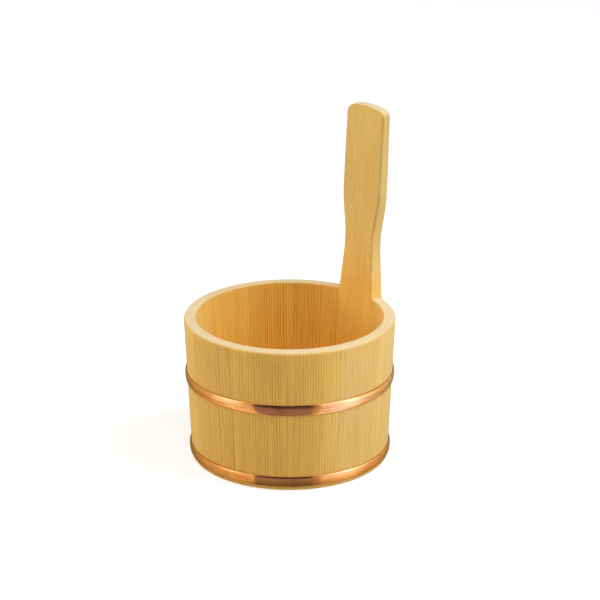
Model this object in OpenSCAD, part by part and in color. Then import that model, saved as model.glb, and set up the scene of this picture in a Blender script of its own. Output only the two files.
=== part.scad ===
// One-handled bath pail of coopered staves, in millimetres, +Z up.
// The origin is on the ground, under the centre of the floor.

/* [Pail] */
// Height of the staves, from the ground to the rim
body_h = 125; // [100:1:160]
// Outer diameter at the rim
rim_d = 180; // [172:1:220]
// Outer diameter at the foot
foot_d = 169; // [150:1:176]
// Thickness of the staves, from face to face
wall = 10.3; // [8:0.1:14]
// Number of staves, the handle stave among them
stave_count = 12; // [10:1:16]

/* [Rim and foot] */
// Rounding of the rim's outer edge
rim_round_out = 3; // [1:0.5:4]
// Rounding of the rim's inner edge
rim_round_in = 1.5; // [0.5:0.5:2.5]
// Chamfer of the foot's edges
foot_chamfer = 0.8; // [0.5:0.1:2.5]

/* [Floor] */
// Height of the floor's underside above the ground
floor_z = 9; // [6:0.5:16]
// Thickness of the floor planks
floor_t = 11; // [9:0.5:16]
// Thickness of the tongue round the floor's edge
tongue_t = 7; // [4:0.5:8]
// Width of the bevel under the floor, inside the tongue
floor_bevel = 6; // [3:0.5:12]
// Depth of the groove that holds the floor
groove_depth = 3; // [2:0.5:4]
// Clearance of the floor in its groove
floor_fit = 0.1; // [0.05:0.05:0.3]
// Number of planks in the floor
plank_count = 3; // [2:1:5]

/* [Bamboo pegs] */
// Diameter of a peg
peg_d = 3; // [2:0.25:4]
// Length of a peg between its points
peg_len = 24; // [16:1:28]
// Length of the taper at each end of a peg
peg_taper = 4; // [2:0.5:6]
// Diameter of a peg's blunt point
peg_point_d = 1; // [0.5:0.1:1.5]
// Clearance of a peg in its hole
peg_fit = 0.1; // [0.05:0.05:0.2]
// Height of the lower stave pegs above the ground
lower_peg_z = 36; // [30:1:45]
// Depth of the upper stave pegs below the rim
upper_peg_drop = 22; // [12:1:40]
// Distance between the two pegs of a floor joint
floor_peg_spread = 70; // [30:1:90]

/* [Hoops] */
// Height of a hoop
hoop_h = 9.3; // [6:0.1:13]
// Thickness of a hoop at its crown
hoop_crown = 1.7; // [1:0.1:3]
// Thickness of a hoop at its edges
hoop_edge = 0.5; // [0.3:0.1:0.9]
// Clearance between a hoop and the staves
hoop_fit = 0.05; // [0.02:0.01:0.2]
// Height of the lower hoop's lower edge above the ground
lower_hoop_z = 3.5; // [3:0.5:10]
// Height of the upper hoop's lower edge above the ground
upper_hoop_z = 69; // [40:1:80]

/* [Handle] */
// Direction of the handle, in degrees from +X towards +Y
handle_azimuth = 42.6; // [0:0.1:90]
// Height of the handle above the rim
handle_h = 167; // [140:1:200]
// Lean of the handle's inner face from upright, in degrees
handle_lean = 3.5; // [2.5:0.1:6]
// Thickness of the handle at its top
handle_tip_t = 8.7; // [7:0.1:11]
// Inset of the handle's edges from the stave joints at the rim
handle_shoulder = 0.5; // [0.2:0.1:3]
// Width of the handle at its waist
waist_w = 34.6; // [26:0.2:40]
// Height of the waist above the rim
waist_rise = 46; // [30:1:60]
// Width of the grip
grip_w = 45.2; // [36:0.2:52]
// Height above the rim at which the grip reaches its full width
grip_rise = 93; // [70:1:105]
// Fall of the top edge from its middle to the sides
crown_drop = 2.3; // [0.5:0.1:5]
// Rounding of the top's left corner, seen from inside the pail
left_corner_r = 8.5; // [4:0.5:14]
// Rounding of the top's right corner, seen from inside the pail
right_corner_r = 6; // [4:0.5:14]
// Rounding of the handle's long edges
handle_edge_r = 2.2; // [1:0.1:3]
// Rounding of the edges round the handle's top
tip_edge_r = 0.7; // [0.4:0.1:3]

/* [Hidden] */
$fn = 96;
wood_colour = "#DDB46E";
bamboo_colour = "#C9A75A";
copper_colour = "#C27A45";

// Wall of the pail: a cone outside, and one parallel to it inside
taper = (rim_d - foot_d) / 2 / body_h;
lean_angle = atan(taper);
lean_stretch = sqrt(1 + taper * taper);
stave_angle = 360 / stave_count;
function outer_r(z) = foot_d / 2 + taper * z;
function inner_r(z) = outer_r(z) - wall;
function middle_r(z) = outer_r(z) - wall / 2;

// Floor and groove
tongue_z = floor_z + floor_t - tongue_t;
floor_top = floor_z + floor_t;
groove_low = tongue_z - floor_fit;
groove_high = floor_top + floor_fit;
function groove_r(z) = inner_r(z) + groove_depth;
function tongue_r(z) = groove_r(z) - floor_fit;
tongue_root_r = inner_r(groove_low) - floor_fit;
floor_r = tongue_r(floor_top);
plank_w = 2 * floor_r / plank_count;

// Steps of the rounded outlines
round_steps = 6;
hoop_steps = 12;

// Handle
handle_top = body_h + handle_h;
// The handle stave is flat inside, from the inner corner of one joint to that of the other
function flat_x(z) = inner_r(z) * cos(stave_angle / 2);
root_half_w = flat_x(body_h) * tan(stave_angle / 2) - handle_shoulder / cos(stave_angle / 2);
// Its blank is this much thicker inside, and the plane that cuts it runs this far past the rim
plane_cut = 2;
plane_over = 1;
// Where the handle leaves the stave, its faces lie this far inside the stave's
face_set = 0.1;
// The handle's body starts to shrink just under the rim, and ends this deep in the wall
flush_depth = 0.5;
root_depth = 8;
root_inset = 1.5;
// The taper from rim to waist follows a power of the height that is left
waist_power = 1.6;
// An edge's rounding takes at most this share of the thickness
edge_share = 0.4;
// At the rim an edge's rounding is this share of its full size
root_edge_share = 0.2;
// Rings up the handle, and points along a section's face and corner
waist_rings = 7;
grip_rings = 9;
side_rings = 3;
corner_rings = 5;
tip_rings = 3;
face_steps = 6;
edge_steps = 3;

function two_digits(i) = str(i < 10 ? "0" : "", i);
function stave_name(i) = str("stave_", two_digits(i));
function plank_name(i) = str("floor_plank_", two_digits(i));

// Points of an arc round a centre, from one angle to another
function arc(centre, r, from, to) =
    [for (i = [0 : round_steps])
        let (q = from + (to - from) * i / round_steps)
        centre + r * [cos(q), sin(q)]];

// Parts of the section that all staves share: the chamfered foot, and the groove for the floor
foot_outline = [
    [inner_r(0) + foot_chamfer, 0], [outer_r(0) - foot_chamfer, 0],
    [outer_r(foot_chamfer), foot_chamfer]
];
groove_outline = [
    [groove_r(groove_high), groove_high], [groove_r(groove_low), groove_low],
    [inner_r(groove_low), groove_low], [inner_r(foot_chamfer), foot_chamfer]
];

// Section of a wall stave: leaning faces and a rounded rim
module stave_section() {
    out_z = body_h - rim_round_out;
    in_z = body_h - rim_round_in;
    out_centre = [outer_r(out_z) - rim_round_out * lean_stretch, out_z];
    in_centre = [inner_r(in_z) + rim_round_in * lean_stretch, in_z];
    polygon(concat(
        foot_outline,
        arc(out_centre, rim_round_out, -lean_angle, 90),
        arc(in_centre, rim_round_in, 90, 180 - lean_angle),
        [[inner_r(groove_high), groove_high]],
        groove_outline
    ));
}

// Section of the handle stave's blank: thicker inside above the floor, and square at the rim
module blank_section() {
    polygon(concat(
        foot_outline,
        [[outer_r(body_h), body_h], [flat_x(body_h) - plane_cut, body_h]],
        [[flat_x(groove_high) - plane_cut, groove_high]],
        groove_outline
    ));
}

// Places of the stave pegs: each joint has one at this height
function peg_place(z) = [middle_r(z), 0, z];
upper_peg_z = body_h - upper_peg_drop;

module peg_hole() {
    rotate([90, 0, 0])
        cylinder(d = peg_d + 2 * peg_fit, h = peg_len + 2 * peg_fit, center = true);
}

// A bamboo peg with a point at each end, lying along Y
module peg() {
    half = peg_len / 2;
    shank = half - peg_taper;
    point_r = peg_point_d / 2;
    rotate([90, 0, 0])
        rotate_extrude()
            polygon([
                [0, -half], [point_r, -half], [peg_d / 2, -shank],
                [peg_d / 2, shank], [point_r, half], [0, half]
            ]);
}

// A stave of the given section, centred on +X, with the holes for the pegs of both its joints
module stave_body() {
    difference() {
        rotate([0, 0, -stave_angle / 2])
            rotate_extrude(angle = stave_angle) children();
        for (side = [-1, 1], z = [lower_peg_z, upper_peg_z])
            rotate([0, 0, side * stave_angle / 2]) translate(peg_place(z)) peg_hole();
    }
}

module stave(i) {
    color(wood_colour)
        rotate([0, 0, handle_azimuth + stave_angle * i]) stave_body() stave_section();
}

// Outline and faces of the handle, seen in a frame with X outwards and Y to the left
function smooth(t) = (1 - cos(180 * t)) / 2;
function half_w(rise) =
    rise <= 0 ? root_half_w :
    rise < waist_rise ?
        waist_w / 2 + (root_half_w - waist_w / 2) * pow(1 - rise / waist_rise, waist_power) :
    rise < grip_rise ?
        (waist_w + (grip_w - waist_w) * smooth((rise - waist_rise) / (grip_rise - waist_rise))) / 2 :
    grip_w / 2;
function face_x(z) = flat_x(body_h) + face_set + tan(handle_lean) * (z - body_h);
root_t = outer_r(body_h) - flat_x(body_h) - 2 * face_set;
function handle_t(z) = root_t + (handle_tip_t - root_t) * max(0, z - body_h) / handle_h;

// The outer face is round at the rim, like the wall, and flat from the waist up
function roundness(z) = 1 - smooth(min(1, max(0, z - body_h) / waist_rise));
function outer_sag(y, z) = roundness(z) * (rim_d / 2 - sqrt(rim_d * rim_d / 4 - y * y));
root_sag = rim_d / 2 * (1 - cos(stave_angle / 2));
function side_flare(z) = roundness(z) * (root_t - root_sag) / flat_x(body_h);
function edge_r(z) = handle_edge_r * (1 - (1 - root_edge_share) * roundness(z));

// Half of a section's outline, from its right edge over the inner face to its left edge
function section_half(left, right, r) = concat(
    [for (i = [0 : edge_steps])
        let (q = 180 + 90 * i / edge_steps) [r - right + r * cos(q), r + r * sin(q)]],
    [for (i = [1 : face_steps - 1]) [r - right + (left + right - 2 * r) * i / face_steps, 0]],
    [for (i = [0 : edge_steps])
        let (q = 270 + 90 * i / edge_steps) [left - r + r * cos(q), r + r * sin(q)]]
);
function section(left, right, t, r) =
    let (half = section_half(left, right, r), last = len(half) - 1)
    concat(half, [for (i = [last : -1 : 0]) [half[i][0], t - half[i][1]]]);

// A ring is [left height, right height, share of the crown, left width, right width, inset]
crown_curve = crown_drop / pow(grip_w / 2, 2);
function crown_z(y) = handle_top - tip_edge_r - crown_curve * y * y;
// A corner's arc turns from the side to the crown's slope
function corner_turn(r) = 90 - atan(2 * crown_curve * (grip_w / 2 - r));
function corner_w(r, q) = grip_w / 2 - r * (1 - cos(q));
function shoulder_z(r) = crown_z(corner_w(r, corner_turn(r))) - r * sin(corner_turn(r));
left_shoulder = shoulder_z(left_corner_r);
right_shoulder = shoulder_z(right_corner_r);

function level_ring(rise) = [body_h + rise, body_h + rise, 0, half_w(rise), half_w(rise), 0];
function side_ring(share) =
    let (low = body_h + grip_rise)
    [low + (left_shoulder - low) * share, low + (right_shoulder - low) * share,
     share, grip_w / 2, grip_w / 2, 0];
function corner_ring(share) =
    let (left_q = corner_turn(left_corner_r) * share, right_q = corner_turn(right_corner_r) * share)
    [left_shoulder + left_corner_r * sin(left_q), right_shoulder + right_corner_r * sin(right_q), 1,
     corner_w(left_corner_r, left_q), corner_w(right_corner_r, right_q), 0];
function tip_ring(q) =
    let (top = corner_ring(1), rise = tip_edge_r * sin(q), inset = tip_edge_r * (1 - cos(q)))
    [top[0] + rise, top[1] + rise, 1, top[3] - inset, top[4] - inset, inset];
root_ring = [
    body_h - root_depth, body_h - root_depth, 0,
    root_half_w - root_inset, root_half_w - root_inset, root_inset
];
handle_rings = concat(
    [root_ring],
    [level_ring(-flush_depth)],
    [for (i = [1 : waist_rings]) level_ring(waist_rise * i / waist_rings)],
    [for (i = [1 : grip_rings]) level_ring(waist_rise + (grip_rise - waist_rise) * i / grip_rings)],
    [for (i = [1 : side_rings]) side_ring(i / side_rings)],
    [for (i = [1 : corner_rings]) corner_ring(i / corner_rings)],
    [for (i = [1 : tip_rings]) tip_ring(90 * i / tip_rings)]
);

// Points of one ring: the section's outline, bent to the lean, the crown and the round outer face
function ring_height(ring, y) =
    let (width = ring[3] + ring[4], u = (y + ring[4]) / width)
    ring[1] + (ring[0] - ring[1]) * u + ring[2] * crown_curve * width * width * u * (1 - u);
function ring_points(ring) =
    let (
        inset = ring[5],
        middle = (ring[0] + ring[1]) / 2,
        t = handle_t(middle) - 2 * inset,
        r = min(edge_r(middle), edge_share * t)
    )
    [for (p = section(ring[3], ring[4], t, r))
        let (
            z = ring_height(ring, p[0]),
            depth = (inset + p[1]) / (t + 2 * inset),
            y = p[0] * (1 + depth * side_flare(z))
        )
        [face_x(z) + inset + p[1] - depth * outer_sag(y, z), y, z]];

// The handle above the rim: a skin over the rings, closed across its two ends
module handle_blade() {
    skin = [for (ring = handle_rings) ring_points(ring)];
    around = len(skin[0]);
    half = around / 2;
    last = len(skin) - 1;
    sides = [for (j = [0 : last - 1], i = [0 : around - 1])
        let (a = j * around + i, b = j * around + (i + 1) % around)
        each [[a, b, b + around], [a, b + around, a + around]]];
    cap = [for (i = [0 : half - 2])
        let (across = around - i - 1)
        each [[i, i + 1, across - 1], [i, across - 1, across]]];
    foot_cap = [for (f = cap) [f[2], f[1], f[0]]];
    top_cap = [for (f = cap) [for (i = f) i + last * around]];
    polyhedron(points = [for (ring = skin) each ring], faces = concat(sides, foot_cap, top_cap));
}

// The handle stave up to the rim: its blank, planed flat inside above the floor
module handle_body() {
    low = (groove_low + groove_high) / 2;
    high = body_h + plane_over;
    difference() {
        stave_body() blank_section();
        rotate([90, 0, 0])
            linear_extrude(height = rim_d, center = true)
                polygon([[0, low], [flat_x(low), low], [flat_x(high), high], [0, high]]);
    }
}

module handle_stave() {
    color(wood_colour)
        rotate([0, 0, handle_azimuth])
            union() {
                handle_body();
                handle_blade();
            }
}

// The floor as one disc: flat above, bevelled below to the tongue that sits in the groove
module floor_disc() {
    rotate_extrude()
        polygon([
            [0, floor_z], [tongue_root_r - floor_bevel, floor_z],
            [tongue_root_r, tongue_z], [tongue_r(tongue_z), tongue_z],
            [floor_r, floor_top], [0, floor_top]
        ]);
}

// Places of the floor pegs: two at each joint between planks
function plank_joint_x(i) = -floor_r + plank_w * i;
floor_peg_z = (tongue_z + floor_top) / 2;
module at_floor_pegs() {
    for (i = [1 : plank_count - 1], side = [-1, 1])
        translate([plank_joint_x(i), side * floor_peg_spread / 2, floor_peg_z])
            rotate([0, 0, 90]) children();
}

module floor_plank(i) {
    color(wood_colour)
        difference() {
            intersection() {
                floor_disc();
                translate([plank_joint_x(i - 1), -floor_r, 0])
                    cube([plank_w, 2 * floor_r, floor_top]);
            }
            at_floor_pegs() peg_hole();
        }
}

module floor_pegs() {
    color(bamboo_colour) at_floor_pegs() peg();
}

module stave_pegs(z) {
    color(bamboo_colour)
        for (i = [0 : stave_count - 1])
            rotate([0, 0, handle_azimuth + stave_angle * (i + 0.5)])
                translate(peg_place(z)) peg();
}

module lower_stave_pegs() {
    stave_pegs(lower_peg_z);
}

module upper_stave_pegs() {
    stave_pegs(upper_peg_z);
}

// A hoop of half-round section on the wall's cone, with its lower edge at the given height
module hoop(low) {
    thickness = function (u) hoop_edge + (hoop_crown - hoop_edge) * sqrt(1 - u * u);
    seat = function (z) outer_r(z) + hoop_fit;
    color(copper_colour)
        rotate_extrude()
            polygon(concat(
                [[seat(low), low]],
                [for (i = [0 : hoop_steps])
                    let (u = -cos(180 * i / hoop_steps), z = low + hoop_h * (1 + u) / 2)
                    [seat(z) + thickness(u), z]],
                [[seat(low + hoop_h), low + hoop_h]]
            ));
}

module lower_hoop() {
    hoop(lower_hoop_z);
}

module upper_hoop() {
    hoop(upper_hoop_z);
}

for (i = [1 : stave_count - 1])
    stave(i);
handle_stave();
for (i = [1 : plank_count])
    floor_plank(i);
floor_pegs();
lower_stave_pegs();
upper_stave_pegs();
lower_hoop();
upper_hoop();
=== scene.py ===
"""Handled bath pail: staves, handle, floor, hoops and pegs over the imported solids, and the stage.

Lengths are in metres. The frame is that of the solids: +Z up, the origin on the ground under
the centre of the floor, and the photographed view looks along +Y.
"""

import math
from functools import partial

import bpy
import numpy as np
from bpy.props import FloatProperty, FloatVectorProperty, IntProperty, PointerProperty
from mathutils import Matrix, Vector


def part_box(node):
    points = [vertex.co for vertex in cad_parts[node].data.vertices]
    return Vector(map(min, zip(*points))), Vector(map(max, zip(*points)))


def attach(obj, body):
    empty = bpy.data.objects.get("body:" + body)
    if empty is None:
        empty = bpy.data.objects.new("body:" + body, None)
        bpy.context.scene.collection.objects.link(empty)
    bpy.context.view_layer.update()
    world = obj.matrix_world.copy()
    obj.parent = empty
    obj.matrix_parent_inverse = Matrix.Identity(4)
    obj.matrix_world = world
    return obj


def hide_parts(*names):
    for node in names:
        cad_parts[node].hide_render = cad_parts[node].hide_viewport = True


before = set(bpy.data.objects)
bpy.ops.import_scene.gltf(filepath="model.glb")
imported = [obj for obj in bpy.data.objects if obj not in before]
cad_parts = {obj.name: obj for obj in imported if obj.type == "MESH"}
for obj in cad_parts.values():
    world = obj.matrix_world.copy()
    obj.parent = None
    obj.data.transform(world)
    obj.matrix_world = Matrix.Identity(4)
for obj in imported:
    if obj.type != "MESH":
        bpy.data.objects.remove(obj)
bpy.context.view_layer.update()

bl_info = {
    "name": "Handled Bath Pail",
    "version": (1, 0, 0),
    "blender": (4, 5, 0),
    "location": "3D View > Sidebar > Pail",
    "description": "Builds a coopered bath pail with a long handle stave and copper hoops",
    "category": "Object",
}

# How each piece's board was cut: the growth rings' turn from square to its face in degrees, the
# distance from the tree's heart and the width of a ring in metres, the rings' strength and
# waviness, and the board's tint, which is partly its own tone and partly painted light: the bluer
# boards stand for a cool sheen, and the darker stave_06 for painted shade.
BOARDS = {
    "stave_01": (10, 0.230, 0.0020, 1.18, 1.0, (1.02, 1.06, 1.02)),
    "stave_02": (-14, 0.310, 0.0020, 1.05, 1.0, (1.02, 1.07, 0.98)),
    "stave_03": (22, 0.270, 0.0019, 0.75, 1.0, (1.03, 1.12, 1.04)),
    "stave_04": (-8, 0.350, 0.0020, 0.70, 1.0, (1.04, 1.18, 1.35)),
    "stave_05": (30, 0.240, 0.0019, 1.00, 1.4, (1.03, 1.09, 1.20)),
    "stave_06": (34, 0.196, 0.0019, 1.00, 2.8, (0.92, 0.90, 0.83)),
    "stave_07": (-16, 0.330, 0.0020, 0.95, 1.2, (1.03, 1.03, 0.93)),
    "stave_08": (8, 0.290, 0.0021, 0.85, 1.0, (1.02, 1.01, 0.93)),
    "stave_09": (-12, 0.260, 0.0020, 0.95, 1.0, (0.95, 1.01, 1.22)),
    "stave_10": (18, 0.340, 0.0020, 0.85, 1.0, (1.02, 1.09, 1.35)),
    "stave_11": (-20, 0.300, 0.0019, 1.10, 1.0, (0.94, 1.08, 1.30)),
    "handle_stave": (38, 0.280, 0.0018, 0.40, 0.8, (1.02, 1.05, 1.03)),
    "floor_plank_01": (28, 0.260, 0.0019, 0.90, 1.0, (1.03, 1.03, 1.00)),
    "floor_plank_02": (-18, 0.320, 0.0018, 0.90, 1.0, (0.95, 0.94, 0.92)),
    "floor_plank_03": (36, 0.220, 0.0020, 0.90, 1.0, (1.01, 1.05, 1.10)),
}

# How the boards differ besides: the most that a board's grain leans, in metres to the metre, the
# step of its lean from one board to the next, and how far apart along the log they were cut.
GRAIN_LEAN, LEAN_STEP, LOG_STEP = 0.012, 2.4, 0.41

# Edges that turn by more than this look sharp.
CREASE = math.radians(38)

# Places across an eased edge as shares of its radius, and the steps from there to the middle of a
# stave and of a plank.
EASE_STEPS = np.array([0, 0.15, 0.4, 0.7])
STAVE_STEPS, PLANK_STEPS = 12, 14

# The planks' rows: how far the outermost stays inside the floor's circle, the shares of its length
# where a row that misses the inner circles has its points, and those of the points between.
ROW_INSET = 0.00001
ROW_SPREAD, ROW_INSIDE = np.array([1, 0.95, 0.8, 0.6]), np.linspace(-0.96, 0.96, 13)

# The hammering of the hoops: how many waves go round the pail, and each wave's start in radians.
HAMMERING = np.array([(23, 0.0), (37, 1.3), (59, 2.1)])

# The handle: the power of its curve from rim to waist, the share of its edges' rounding at the
# rim, the most of the thickness that this takes, and the share of the width along each long edge
# that is darkened with painted shade.
WAIST_POWER, ROOT_EDGE, EDGE_LIMIT, EDGE_SHADE_SHARE = 1.6, 0.2, 0.4, 0.1

# The handle's rings: up to the full width, up the straight sides, round the corners, over the tip.
GRIP_RINGS, SIDE_RINGS, CORNER_RINGS, TIP_RINGS = 46, 9, 11, 8

# Each lamp's place, width and height in metres, its colour, and whether surfaces can mirror it.
COOL, WHITE, WARM = (0.92, 1.01, 1.22), (1.0, 1.0, 1.0), (1.0, 0.97, 0.88)
LAMPS = (
    ("right_lamp", (2.75, -0.34, 1.00), 2.1, 2.0, COOL, True),
    ("left_lamp", (-2.70, -0.90, 1.15), 2.1, 2.2, WARM, False),
    ("high_lamp", (1.95, -0.45, 2.65), 1.8, 1.8, COOL, True),
    ("front_lamp", (0.0, -2.25, 2.95), 1.8, 1.8, WHITE, False),
    ("back_lamp", (-2.70, 1.20, 1.30), 1.8, 2.1, WHITE, False),
    ("low_lamp", (0.30, -0.60, -2.20), 1.8, 1.8, WHITE, False),
)
LAMP_AIM = (0.0, 0.0, 0.1)

# The room that the hoops mirror: degrees from the front, and the lightness that way of the floor
# near the pail, of the floor far from it, and of the wall.
ROOM = (
    (-180, 0.36, 0.40, 0.40),
    (-110, 0.30, 0.40, 0.35),
    (-90, 0.26, 0.50, 0.25),
    (-75, 0.36, 0.66, 0.16),
    (-65, 0.55, 0.74, 0.26),
    (-55, 0.74, 0.82, 0.46),
    (-45, 1.00, 1.00, 0.92),
    (-35, 1.15, 1.60, 1.90),
    (-24, 1.00, 1.05, 0.95),
    (-20.5, 0.95, 0.90, 0.70),
    (-18.8, 0.36, 0.16, 0.03),
    (-6, 0.34, 0.12, 0.02),
    (8, 0.34, 0.14, 0.02),
    (12.5, 0.36, 0.18, 0.04),
    (13.5, 0.62, 0.52, 0.32),
    (16, 0.70, 0.62, 0.50),
    (18, 1.12, 1.14, 1.20),
    (22, 1.12, 1.22, 1.42),
    (35, 1.55, 2.25, 2.60),
    (41, 1.35, 1.70, 1.70),
    (46, 1.05, 1.30, 0.90),
    (55, 0.88, 1.12, 0.48),
    (65, 0.66, 1.00, 0.30),
    (75, 0.46, 0.86, 0.22),
    (90, 0.34, 0.60, 0.30),
    (110, 0.33, 0.40, 0.35),
    (180, 0.36, 0.40, 0.40),
)

# Painted shadow: how the floor of that room darkens towards the pail, as in the pail's own shadow:
# metres from its foot, and the share left.
PAINTED_FOOT_SHADOW = (
    (0.001, 0.42), (0.008, 0.70), (0.022, 0.95), (0.045, 1.0), (0.10, 1.0), (0.17, 1.0),
    (0.25, 1.0), (0.45, 1.0), (0.9, 1.0),
)

# That room's steps from side to side, the metres from the foot where its near floor ends and its
# far floor starts, the heights of its floor and of its wall's foot, and the light of the wall's
# upper edge: one of its own and a share of the wall's.
ROOM_STEPS = 361
NEAR_END, FAR_START = 0.16, 0.45
ROOM_LIFT, WALL_FOOT = 0.0005, 0.35
UPPER_LIGHT, UPPER_SHARE = 0.3, 0.6

# The tint of that room: degrees from the front, and the tint that way of the floor at each of the
# last three distances from the pail's foot, in metres. At the first one it is orange like the wood:
# painted light bounced from the wood onto the floor by the foot.
CREAM, AMBER, ORANGE = (1.0, 1.02, 1.5), (1.0, 0.9, 0.6), (1.0, 0.8, 0.4)
PLUM, STRAW = (1.0, 0.76, 0.85), (1.0, 1.06, 0.8)
TINT_RUNS = (0.005, 0.045, 0.17, 0.45)
ROOM_TINT = (
    (-180, AMBER, AMBER, AMBER),
    (-60, ORANGE, ORANGE, AMBER),
    (-48, ORANGE, ORANGE, AMBER),
    (-38, ORANGE, WHITE, WHITE),
    (-30, ORANGE, WHITE, WHITE),
    (-23, ORANGE, AMBER, AMBER),
    (-20.5, ORANGE, AMBER, AMBER),
    (-18.8, PLUM, PLUM, PLUM),
    (12.5, PLUM, PLUM, PLUM),
    (13.5, ORANGE, ORANGE, ORANGE),
    (16, ORANGE, ORANGE, ORANGE),
    (19, WHITE, WHITE, WHITE),
    (33, CREAM, CREAM, CREAM),
    (40, STRAW, CREAM, WHITE),
    (48, AMBER, WHITE, STRAW),
    (60, ORANGE, STRAW, STRAW),
    (90, ORANGE, STRAW, AMBER),
    (180, AMBER, AMBER, AMBER),
)


def number(name, description, default, **kind):
    """A number that can be set, with its unit or its limits."""
    return FloatProperty(name=name, description=description, default=default, **kind)


def angle(name, description, degrees):
    """An angle, given in degrees and kept in radians."""
    return number(name, description, math.radians(degrees), subtype="ANGLE")


def tint(name, description, default):
    """A colour, linear red, green and blue."""
    return FloatVectorProperty(
        name=name, description=description, default=default, size=3, min=0.0, max=1.0,
        subtype="COLOR",
    )


# A size in metres, a share from 0 to 1, and a lamp's power in watts.
length = partial(number, min=0.0, precision=5, unit="LENGTH")
share = partial(number, min=0.0, max=1.0, subtype="FACTOR")
power = partial(number, min=0.0, subtype="POWER")


class PailSizes(bpy.types.PropertyGroup):
    """Sizes of the ring of staves."""

    body_height: length("Body height", "From the ground to the rim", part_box("stave_01")[1].z)
    rim_diameter: length("Rim diameter", "Outer diameter at the rim", 0.180)
    foot_diameter: length("Foot diameter", "Outer diameter at the foot", 0.169)
    wall: length("Wall", "Thickness of a stave", 0.0103)
    stave_count: IntProperty(
        name="Staves", description="Number of staves, the handle stave among them", default=12
    )
    rim_round_out: length("Outer rim rounding", "Radius of the rim's outer edge", 0.003)
    rim_round_in: length("Inner rim rounding", "Radius of the rim's inner edge", 0.0015)
    foot_chamfer: length("Foot chamfer", "Chamfer of the foot's edges", 0.0008)
    joint_ease: length("Joint easing", "Radius of a stave's edges along its joints", 0.00011)


class HandleSizes(bpy.types.PropertyGroup):
    """Sizes of the part of the handle stave above the rim."""

    azimuth: angle("Direction", "Direction of the handle, from +X towards +Y", 42.6)
    height: length("Height", "Height of the handle above the rim", 0.167)
    lean: angle("Lean", "Lean of the inner face from upright", 3.5)
    tip_thickness: length("Tip thickness", "Thickness at the top", 0.0087)
    shoulder: length("Shoulder", "Inset from the stave's joints at the rim", 0.0005)
    waist_width: length("Waist width", "Width where the handle is narrowest", 0.0346)
    waist_rise: length("Waist rise", "Height of the waist above the rim", 0.046)
    grip_width: length("Grip width", "Width of the grip", 0.0452)
    grip_rise: length("Grip rise", "Height above the rim of the full width", 0.093)
    crown_drop: length("Crown drop", "Fall of the top edge from middle to sides", 0.0023)
    left_corner: length("Left corner", "Rounding of the top's left corner", 0.0085)
    right_corner: length("Right corner", "Rounding of the top's right corner", 0.006)
    edge_round: length("Edge rounding", "Rounding of the long edges", 0.0022)
    # Painted shade: how far the grip and the long edges of the handle are darkened.
    painted_grip_shade: share("Handled", "How far the grip has darkened in the hand", 0.1)
    # The handle grows paler above the rim, mixed towards the pale end-grain colour.
    grip_paleness: share("Sapwood", "How near the grip's wood is to the pale colour of end grain", 0.55)
    grip_paleness_rise: length("Sapwood rise", "Height above the rim where it is fully pale", 0.02)
    tip_round: length("Tip rounding", "Rounding of the edges round the top", 0.0007)


class FloorSizes(bpy.types.PropertyGroup):
    """Sizes of the plank floor and of the groove that holds it."""

    underside: length("Underside", "Height of the underside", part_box("floor_plank_02")[0].z)
    top: length("Top", "Height of the floor's upper face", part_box("floor_plank_02")[1].z)
    tongue: length("Tongue", "Thickness of the tongue round the edge", 0.007)
    bevel: length("Bevel", "Width of the bevel under the floor", 0.006)
    groove_depth: length("Groove depth", "Depth of the groove in the staves", 0.003)
    fit: length("Fit", "Clearance of the floor in the groove", 0.0001)
    joint_ease: length("Joint easing", "Radius of a plank's edges along its joints", 0.00028)
    plank_count: IntProperty(name="Planks", description="Number of planks", default=3)


class HoopSizes(bpy.types.PropertyGroup):
    """Sizes of the two half-round hoops."""

    height: length("Height", "Height of a hoop", 0.0093)
    crown: length("Crown", "Thickness at the crown", 0.0017)
    edge: length("Edge", "Thickness at the edges", 0.0005)
    fit: length("Fit", "Clearance between a hoop and the staves", 0.00005)
    lower_z: length("Lower hoop", "Height of its lower edge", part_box("lower_hoop")[0].z)
    upper_z: length("Upper hoop", "Height of its lower edge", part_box("upper_hoop")[0].z)
    ripple: length("Ripple", "Depth of the unevenness left by hammering", 0.00003)


class WoodFinish(bpy.types.PropertyGroup):
    """Look of the bare cypress."""

    early: tint("Early wood", "Colour of the broad pale part of a ring", (0.93, 0.548, 0.106))
    late: tint("Late wood", "Colour of the narrow dark part of a ring", (0.70, 0.265, 0.0))
    # Partly painted light: end grain is painted paler than the wood, partly for the cut fibre and
    # partly for the strong light from above on the rim.
    end: tint("End grain", "Colour where the fibres are cut across", (0.965, 0.735, 0.40))
    wander: length("Wander", "How far the rings stray, from side to side at most", 0.00216)
    contrast: share("Contrast", "Strength of the growth rings", 0.90)
    roughness: share("Roughness", "Roughness of the planed surface", 0.45)


class CopperFinish(bpy.types.PropertyGroup):
    """Look of the hoops."""

    bright: tint("Bright copper", "Colour of the rubbed metal", (0.93, 0.455, 0.155))
    dull: tint("Dull copper", "Colour where it has darkened", (0.60, 0.230, 0.062))
    edge: tint("Edge copper", "Colour where it is seen at a slant", (0.80, 0.52, 0.28))
    roughness: share("Roughness", "Roughness of the rubbed metal", 0.08)


class BambooFinish(bpy.types.PropertyGroup):
    """Look of the hidden pegs."""

    flesh: tint("Flesh", "Colour of the bamboo", (0.55, 0.38, 0.14))
    fibre: tint("Fibre", "Colour of its fibre bundles", (0.30, 0.17, 0.05))


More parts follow.
